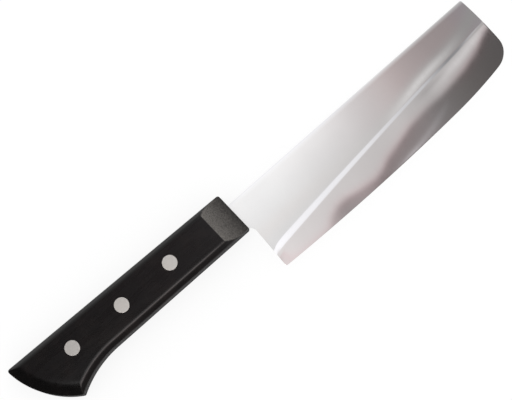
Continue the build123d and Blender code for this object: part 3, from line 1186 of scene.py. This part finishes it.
def keep_apart(points, gap):
    """The points that lie at least a gap from all points kept before."""
    kept = []
    for point in points:
        i, j = int(point.x // CELL), int(point.y // CELL)
        around = [(i + right, j + up) for right in (-1, 0, 1) for up in (-1, 0, 1)]
        near = [other for cell in around for other in taken.get(cell, ())]
        if all((other - point).length > gap for other in near):
            taken.setdefault((i, j), []).append(point)
            kept.append(point)
    return kept


def well_inside(point):
    """True for a point of the plan that clears the rings along its outline."""
    return min(*from_sides(point), (front_foot - point).dot(front_way)) > RING_CLEAR


candidates = []
for run, rows in ((back_run, SIDE_ROWS), (belly_run, SIDE_ROWS), (butt_run, BUTT_ROWS)):
    for n in range(1, len(run) - 1):
        side = (run[n + 1] - run[n - 1]).normalized()
        candidates += [run[n] + Vector((-side.y, side.x)) * row for row in rows]
for row in SCOOP_ROWS:
    start, end = front_foot - front_way * row, front_top - front_way * row
    candidates += [start.lerp(end, n / SCOOP_COLUMNS) for n in range(1, SCOOP_COLUMNS)]
    rim_at = (scoop_height(start) - WALL) / BEVEL_DEPTH * SIDE_BEVEL
    for step in SCOOP_RIM_ROWS:
        aside = Vector((0, rim_at + step))
        candidates += [start + aside, end - aside]
candidates += [
    FIELD_START + Vector((-i, j)) * FIELD_STEP
    for i in range(FIELD_COLUMNS)
    for j in range(FIELD_ROWS)
]
handle_field = keep_apart([point for point in candidates if well_inside(point)], LEAST_GAP)
print("handle plan has", len(handle_field), "inner points")

# %% [markdown]
# The plan is lifted, its rim is eased, and a wall closes it down to the seam between the
# halves, which gets a hair's breadth of chamfer. How far each point lies on the scoop is
# kept as an attribute called `scoop`, for the material to read.

# %% Build one half of the handle
RIM_INSETS = (0.0, 0.04, 0.12, 0.24, 0.40, 0.58)
RIM_WIDTH = 0.5
RIM_DEPTH = 0.4
SEAM = 0.07
SCOOP_FADE = 0.12


def handle_half(side):
    """The vertices, faces and scoop values of one half, on the right (1) or left (-1) side."""
    count = len(handle_line)
    rings = [[p + way * inset for p, way in zip(handle_line, handle_into)] for inset in RIM_INSETS]
    points, triangles, origins = fill_plan(rings, handle_field)
    verts, scoops = [], []
    for point, origin in zip(points, origins):
        height, depth = handle_height(point)
        ring_number = min(origin, default=len(rings) * count) // count
        if ring_number < len(rings) and RIM_INSETS[ring_number] < RIM_WIDTH:
            share = RIM_INSETS[ring_number] / RIM_WIDTH
            height -= RIM_DEPTH * (1.0 - math.sqrt(1.0 - (1.0 - share) ** 2))
        verts.append(at(point.x, point.y, side * height))
        scoops.append(max(0.0, min(1.0, depth / SCOOP_FADE + 0.5)))
    rim = {first: n for n, origin in enumerate(origins) for first in origin if first < count}
    loop = [rim[n] for n in range(count)]
    faces = list(triangles)
    for inset, level in ((0.0, SEAM * 2), (SEAM, 0.0)):
        base = len(verts)
        verts += [at(*(p + way * inset), side * level) for p, way in zip(handle_line, handle_into)]
        scoops += [0.0] * count
        new_loop = list(range(base, base + count))
        for n in range(count):
            m = (n + 1) % count
            faces.append((loop[n], new_loop[n], new_loop[m], loop[m]))
        loop = new_loop
    faces.append(tuple(reversed(loop)))
    if side < 0:
        faces = [tuple(reversed(face)) for face in faces]
    return verts, faces, scoops


verts, faces, scoops = handle_half(1)
print("one half:", len(verts), "vertices,", len(faces), "faces")

# %% [markdown]
# The halves are hollowed as the real ones are: a shallow pocket for the tang, and for each
# rivet a bore with a wider seat for its head. Solid shapes of that size are taken away
# with Boolean modifiers, the quick way to cut clean holes in a finished form. Then the
# cutters are thrown away.

# %% Pocket and rivet seats
RIVETS = {"front": (-42.15, -3.05), "middle": (-75.0, -3.05), "rear": (-108.6, -2.75)}
SEAT_RADIUS = 4.11
SEAT_FLOOR = 6.0
BORE_RADIUS = 2.92
POCKET_DEPTH = 1.25
POCKET = [
    (2.0, -1.05), (-4.0, -1.05), (-13.1, 3.15), (-123.25, 4.75), (-123.25, -11.95), (2.0, -14.1),
]
CIRCLE_POINTS = 64
POCKET_OVERRUN, BORE_OVERRUN, SEAT_OVERRUN = 1.0, 0.5, 1.0
CREASE_ANGLE = math.radians(32)


def prism(name, outline, levels):
    """A closed solid over a counterclockwise outline: its levels are (height, scale)."""
    count = len(outline)
    points = [Vector(point) for point in outline]
    centre = sum(points, Vector((0, 0))) / count
    verts = [at(*(centre + (point - centre) * scale), z) for z, scale in levels for point in points]
    faces = [tuple(reversed(range(count))), tuple(range(len(verts) - count, len(verts)))]
    for r in range(len(levels) - 1):
        for n in range(count):
            m = (n + 1) % count
            faces.append((r * count + n, r * count + m, (r + 1) * count + m, (r + 1) * count + n))
    return solid(name, verts, faces)


def on_side(levels, side):
    """Levels of the right half, or their mirror images for the left one."""
    return levels if side > 0 else [(-z, scale) for z, scale in reversed(levels)]


def cutters(side):
    """The solids that are taken from one half."""
    levels = [(-POCKET_OVERRUN, 1), (POCKET_DEPTH, 1)]
    made = [prism("pocket_cutter", list(reversed(POCKET)), on_side(levels, side))]
    inner = BORE_RADIUS / SEAT_RADIUS
    levels = [
        (-BORE_OVERRUN, inner), (SEAT_FLOOR, inner), (SEAT_FLOOR, 1),
        (HALF_HANDLE + SEAT_OVERRUN, 1),
    ]
    angles = [n * math.tau / CIRCLE_POINTS for n in range(CIRCLE_POINTS)]
    for name, (x, y) in RIVETS.items():
        circle = [(x + SEAT_RADIUS * math.cos(a), y + SEAT_RADIUS * math.sin(a)) for a in angles]
        made.append(prism(f"{name}_seat_cutter", circle, on_side(levels, side)))
    return made


handle_skins = []
for name, side in (("handle_half_right", 1), ("handle_half_left", -1)):
    verts, faces, scoops = handle_half(side)
    raw = solid(f"{name}_raw", verts, faces)
    values = raw.data.attributes.new("scoop", "FLOAT", "POINT")
    values.data.foreach_set("value", scoops)
    tools = cutters(side)
    for tool in tools:
        cut = raw.modifiers.new(tool.name, "BOOLEAN")
        cut.object = tool
        cut.operation = "DIFFERENCE"
        cut.solver = "EXACT"
    bpy.context.view_layer.update()
    finished = raw.evaluated_get(bpy.context.evaluated_depsgraph_get())
    mesh = bpy.data.meshes.new_from_object(finished)
    mesh.name = f"{name}_skin"
    mesh.polygons.foreach_set("use_smooth", [True] * len(mesh.polygons))
    mesh.set_sharp_from_angle(angle=CREASE_ANGLE)
    skin = new_object(f"{name}_skin", mesh)
    for tool in [raw, *tools]:
        bpy.data.objects.remove(tool, do_unlink=True)
    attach(skin, "root")
    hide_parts(name)
    handle_skins.append(skin)
    print(name, "skin:", len(mesh.vertices), "vertices,", len(mesh.polygons), "faces")

# %% [markdown]
# Black wood shows little but what it mirrors, and its bevels look sideways. So three small
# cards stand round the handle: a black flag wrapped round the butt, which makes its bevel
# the darkest part, a warm lamp beside the belly, which draws the soft bright crease, and
# a grey sheet behind the back. Each is a low wall with a brightness that changes over its
# height. They stand beside the handle only, so from above the blade doesn't mirror them.

# %% Cards round the handle
FLAG_GAP = 30.0
FLAG_HEIGHT = 70.0
FLAG_REACH = (-30.0, 64.0)
LAMP_X, LAMP_Y = (-128.0, -15.0), -60.0
LAMP_HEIGHT = 105.0
LAMP_STRENGTH = 4.15
LAMP_WARMTH = (1.0, 0.895, 0.885)
LAMP_STOPS = [(0.0, 0.03), (0.36, 0.09), (0.44, 0.40), (0.52, 0.86), (0.60, 1.0), (1.0, 1.0)]
FLAG_STOPS = [(0.0, 0.12), (0.4, 0.05), (1.0, 0.02)]
SHEET_X, SHEET_Y = (-175.0, -6.0), 32.0
SHEET_HEIGHT = 42.0
SHEET_STOPS = [(0.0, 0.62), (0.15, 0.80), (0.4, 0.75), (1.0, 0.55)]
CARD_FOOT = -8.0
FLAG_PARTS = 24


def wall_card(name, line, height, stops, strength=1.0, tint=(1.0, 1.0, 1.0)):
    """A card that stands on a line of points (x, y) and glows by its height."""
    material, tree = new_material(name)
    share = spread(tree, split_xyz(tree, object_place(tree))[2], CARD_FOOT, height, mode="LINEAR")
    stops = [(place, [value * part for part in tint]) for place, value in stops]
    colour = ramp(tree, share, stops, "LINEAR")
    show(tree, node(tree, "ShaderNodeEmission", Color=colour, Strength=strength))
    count = len(line)
    verts = [(x, y, z) for z in (CARD_FOOT, height) for x, y in line]
    faces = [(n, n + 1, n + 1 + count, n + count) for n in range(count - 1)]
    card = solid(name, verts, faces, material)
    card.location = at(0, 0, 0)
    card.scale = (MM,) * 3
    only_in_mirrors(card)
    return card


low, high = [math.radians(angle) for angle in FLAG_REACH]
flag_line = []
for n in range(FLAG_PARTS + 1):
    angle = low + (high - low) * n / FLAG_PARTS
    spoke = Vector((math.cos(angle), math.sin(angle))) * (BUTT_RADIUS + FLAG_GAP)
    flag_line.append(BUTT_CENTRE - spoke)
lamp_line = [(x, LAMP_Y) for x in LAMP_X]
sheet_line = [(x, SHEET_Y) for x in SHEET_X]
cards = [
    wall_card("black_flag", flag_line, FLAG_HEIGHT, FLAG_STOPS),
    wall_card("belly_lamp", lamp_line, LAMP_HEIGHT, LAMP_STOPS, LAMP_STRENGTH, LAMP_WARMTH),
    wall_card("back_sheet", sheet_line, SHEET_HEIGHT, SHEET_STOPS),
]
print("cards:", [card.name for card in cards])

# %% [markdown]
# The wood is birch in thin sheets, dyed black and pressed with resin. Polished along the
# sheets it is nearly black, with a faint brown mottle and a satin sheen. The scoop is cut
# across the sheets, so it is rougher and greyer and shows the ends of the fibres as a fine
# speckle. On top of that, a painted sheen makes the scoop paler towards its rear crease and
# darker towards its front face, in place of the room's light that it would mirror.

# %% Handle wood
DYED_BLACK = [(0.0030, 0.0024, 0.0025, 1.0), (0.0064, 0.0046, 0.0043, 1.0)]
# Each pair runs from the scoop's front face to its rear crease. The speckle is the wood's own, and the
# rise in brightness towards the rear is painted sheen.
PALE_SPECKLE_AND_SHEEN = [(0.038, 0.034, 0.031, 1.0), (0.212, 0.198, 0.184, 1.0)]
DARK_SPECKLE_AND_SHEEN = [(0.015, 0.0137, 0.0125, 1.0), (0.098, 0.090, 0.083, 1.0)]
# The painted sheen fades out between the scoop's rear crease and its front face.
PAINTED_SHEEN_REACH = (at(-14.5, 0).x, at(-1.0, 0).x)
MOTTLE_TONE = (0.42, 0.66)
SPECKLE_TONE = (0.32, 0.68)
FIBRE_STRETCH = (60, 420, 420)
POLISHED_ROUGH = (0.25, 0.31)
WALL_ROUGH = (0.78, 0.78, 0.78, 1.0)
CUT_ROUGH = (0.75, 0.75, 0.75, 1.0)
WALL_FACING = (0.1, 0.5)
GRAIN_BUMP = 0.15

wood, tree = new_material("black_resin_wood")
place = object_place(tree)
scoop = node(tree, "ShaderNodeAttribute", {"attribute_name": "scoop"}, out=2)
# Painted sheen: one at the scoop's rear crease, none at its front face.
painted_sheen = spread(tree, split_xyz(tree, place)[0], *PAINTED_SHEEN_REACH, 1.0, 0.0, mode="LINEAR")
grain = drawn_grain(tree, place, FIBRE_STRETCH, detail=4.0)
mottle = noise(tree, place, scale=85.0, detail=4.0, roughness=0.6)
speckle = noise(tree, place, scale=1700.0, detail=2.0, roughness=0.7)
black = mix(tree, spread(tree, mottle, *MOTTLE_TONE), *DYED_BLACK)
dark_speckle_and_sheen, pale_speckle_and_sheen = mix(tree, painted_sheen, *DARK_SPECKLE_AND_SHEEN), mix(tree, painted_sheen, *PALE_SPECKLE_AND_SHEEN)
cut_face_and_sheen = mix(tree, spread(tree, speckle, *SPECKLE_TONE), dark_speckle_and_sheen, pale_speckle_and_sheen)
colour = mix(tree, scoop, black, cut_face_and_sheen)
upright = split_xyz(tree, node(tree, "ShaderNodeNewGeometry", out=1))[2]
on_wall = spread(tree, maths(tree, "ABSOLUTE", upright), *WALL_FACING, 1.0, 0.0)
rough = mix(tree, on_wall, spread(tree, grain, *NOISE, *POLISHED_ROUGH), WALL_ROUGH)
rough = mix(tree, scoop, rough, CUT_ROUGH)
bump_height = maths(tree, "MULTIPLY", grain, GRAIN_BUMP)
bump_height = maths(tree, "MULTIPLY_ADD", speckle, scoop, bump_height)
bump = node(tree, "ShaderNodeBump", Strength=0.25, Distance=0.00006, Height=bump_height)
resin = node(
    tree, "ShaderNodeBsdfPrincipled", Base_Color=colour, Roughness=rough, Normal=bump,
    Specular_IOR_Level=0.32,
)
show(tree, resin)


def cover(piece, material):
    """Gives a piece one material."""
    piece.data.materials.clear()
    piece.data.materials.append(material)


for skin in handle_skins:
    cover(skin, wood)
print("handle wood is on")

# %% [markdown]
# The rivets are turned from a softer stainless steel and ground flush with the wood. They
# are a duller grey than the blade, with fine marks left by the belt.

# %% Rivet steel
PALE_RIVET = (0.66, 0.655, 0.62, 1.0)
DULL_RIVET = (0.60, 0.595, 0.565, 1.0)
BELT_STRETCH = (300, 5200, 300)
BELT_ROUGH = (0.44, 0.52)

rivet, tree = new_material("rivet_steel")
belt = drawn_grain(tree, object_place(tree), BELT_STRETCH, detail=3.0)
rough = spread(tree, belt, *NOISE, *BELT_ROUGH)
bump = node(tree, "ShaderNodeBump", Strength=0.1, Distance=0.00002, Height=belt)
tone = mix(tree, spread(tree, belt, *NOISE), PALE_RIVET, DULL_RIVET)
show(tree, metal(tree, tone, rough, bump))
rivets = [cad_node for name, cad_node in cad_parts.items() if name.startswith("rivet_")]
for cad_node in rivets:
    cover(cad_node, rivet)
print("rivet steel is on", len(rivets), "pieces")

# %% [markdown]
# Last, the box round the dressed knife is measured and printed.

# %% Measure the dressed knife
low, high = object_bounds()
print("visual box in mm:", [round((b - a) / MM, 2) for a, b in zip(low, high)])
